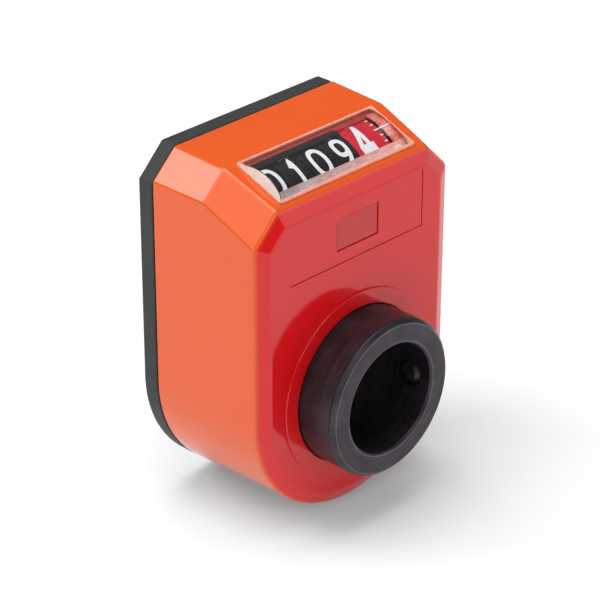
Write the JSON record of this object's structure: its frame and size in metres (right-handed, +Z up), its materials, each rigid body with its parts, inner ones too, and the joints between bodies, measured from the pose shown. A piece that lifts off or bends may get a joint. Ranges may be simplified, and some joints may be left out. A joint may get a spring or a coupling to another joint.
{
  "type": "mechanical position indicator",
  "caption": "Hollow-shaft position indicator: moulded case with a sloping window over number wheels, geared to a through-bored steel bush.",
  "frame": {"origin": "centre of the shaft bore at the rear face, where the case meets the machine", "axes": "+Y along the bore and out of the rear face, +X to the right as seen from the front, +Z up towards the window"},
  "size_m": [0.048, 0.042, 0.067],
  "materials": {
    "case_plastic": "glossy orange-red moulding",
    "base_plastic": "dark grey, fine grained",
    "clear_plastic": "clear moulding",
    "black_steel": "turned and blackened",
    "bright_steel": "bright turned",
    "zinc_sheet": "zinc plated sheet",
    "brass_gear": "machined",
    "wheel_black": "black moulding with white figures",
    "wheel_red": "red moulding with white figures",
    "white_plastic": "natural acetal",
    "carrier_plastic": "black moulding",
    "seal_rubber": "smooth",
    "seal_foam": "foamed"
  },
  "bodies": {
    "housing": {"case": "case_plastic", "rear_base": "base_plastic", "window": "clear_plastic", "foam_seal": "seal_foam", "torque_pin": "base_plastic", "front_bush_seal": "seal_rubber", "rear_bush_seal": "seal_rubber", "counter_bracket": "zinc_sheet", "bracket_screw_left": "bright_steel", "bracket_screw_right": "bright_steel", "locking_bar": "bright_steel", "drum_axle": "bright_steel", "axle_clip_left": "bright_steel", "axle_clip_right": "bright_steel", "idler_pin": "bright_steel", "idler_clip": "bright_steel", "carrier_1": "carrier_plastic", "carrier_2": "carrier_plastic", "carrier_3": "carrier_plastic", "carrier_4": "carrier_plastic"},
    "bush": {"bush": "black_steel", "bush_gear": "white_plastic", "thrust_washer": "bright_steel", "bush_circlip": "bright_steel"},
    "grub_screw": {"grub_screw": "black_steel"},
    "idler": {"idler_gear": "brass_gear"},
    "cross_shaft": {"cross_shaft": "bright_steel", "shaft_gear": "brass_gear", "face_pinion": "brass_gear"},
    "units_wheel": {"wheel_units": "wheel_red", "crown_gear": "brass_gear"},
    "tens_wheel": {"wheel_tens": "wheel_black"},
    "hundreds_wheel": {"wheel_hundreds": "wheel_black"},
    "thousands_wheel": {"wheel_thousands": "wheel_black"},
    "ten_thousands_wheel": {"wheel_ten_thousands": "wheel_black"},
    "transfer_pinion_1": {"transfer_pinion_1": "white_plastic"},
    "transfer_pinion_2": {"transfer_pinion_2": "white_plastic"},
    "transfer_pinion_3": {"transfer_pinion_3": "white_plastic"},
    "transfer_pinion_4": {"transfer_pinion_4": "white_plastic"}
  },
  "joints": [
    {"name": "bush_spin", "type": "hinge", "parent": "housing", "child": "bush", "pos_m": [0, 0, 0], "axis": [0, 1, 0], "continuous": true},
    {"name": "grub_screw_travel", "type": "slide", "parent": "bush", "child": "grub_screw", "axis": [0.9962, 0, -0.0872], "range_m": [-0.0004, 0.0015]},
    {"name": "idler_spin", "type": "hinge", "parent": "housing", "child": "idler", "pos_m": [0.01311, 0, 0.02187], "axis": [0, 1, 0], "continuous": true},
    {"name": "cross_shaft_spin", "type": "hinge", "parent": "housing", "child": "cross_shaft", "pos_m": [0.0173, 0, 0.0315], "axis": [0, 1, 0], "continuous": true},
    {"name": "units_wheel_spin", "type": "hinge", "parent": "housing", "child": "units_wheel", "pos_m": [0, -0.0163, 0.0315], "axis": [1, 0, 0], "continuous": true},
    {"name": "tens_wheel_spin", "type": "hinge", "parent": "housing", "child": "tens_wheel", "pos_m": [0, -0.0163, 0.0315], "axis": [1, 0, 0], "continuous": true},
    {"name": "hundreds_wheel_spin", "type": "hinge", "parent": "housing", "child": "hundreds_wheel", "pos_m": [0, -0.0163, 0.0315], "axis": [1, 0, 0], "continuous": true},
    {"name": "thousands_wheel_spin", "type": "hinge", "parent": "housing", "child": "thousands_wheel", "pos_m": [0, -0.0163, 0.0315], "axis": [1, 0, 0], "continuous": true},
    {"name": "ten_thousands_wheel_spin", "type": "hinge", "parent": "housing", "child": "ten_thousands_wheel", "pos_m": [0, -0.0163, 0.0315], "axis": [1, 0, 0], "continuous": true},
    {"name": "transfer_pinion_1_spin", "type": "hinge", "parent": "housing", "child": "transfer_pinion_1", "pos_m": [0, -0.01547, 0.02681], "axis": [1, 0, 0], "continuous": true},
    {"name": "transfer_pinion_2_spin", "type": "hinge", "parent": "housing", "child": "transfer_pinion_2", "pos_m": [0, -0.01547, 0.02681], "axis": [1, 0, 0], "continuous": true},
    {"name": "transfer_pinion_3_spin", "type": "hinge", "parent": "housing", "child": "transfer_pinion_3", "pos_m": [0, -0.01547, 0.02681], "axis": [1, 0, 0], "continuous": true},
    {"name": "transfer_pinion_4_spin", "type": "hinge", "parent": "housing", "child": "transfer_pinion_4", "pos_m": [0, -0.01547, 0.02681], "axis": [1, 0, 0], "continuous": true}
  ],
  "couplings": [
    {"joint": "idler_spin", "follows": "bush_spin", "ratio": -2.4},
    {"joint": "cross_shaft_spin", "follows": "bush_spin", "ratio": 6},
    {"joint": "units_wheel_spin", "follows": "bush_spin", "ratio": 2},
    {"joint": "tens_wheel_spin", "follows": "bush_spin", "ratio": 0.2},
    {"joint": "hundreds_wheel_spin", "follows": "bush_spin", "ratio": 0.02},
    {"joint": "thousands_wheel_spin", "follows": "bush_spin", "ratio": 0.002},
    {"joint": "ten_thousands_wheel_spin", "follows": "bush_spin", "ratio": 0.0002},
    {"joint": "transfer_pinion_1_spin", "follows": "bush_spin", "ratio": 0.66667},
    {"joint": "transfer_pinion_2_spin", "follows": "bush_spin", "ratio": 0.066667},
    {"joint": "transfer_pinion_3_spin", "follows": "bush_spin", "ratio": 0.0066667},
    {"joint": "transfer_pinion_4_spin", "follows": "bush_spin", "ratio": 0.00066667}
  ]
}
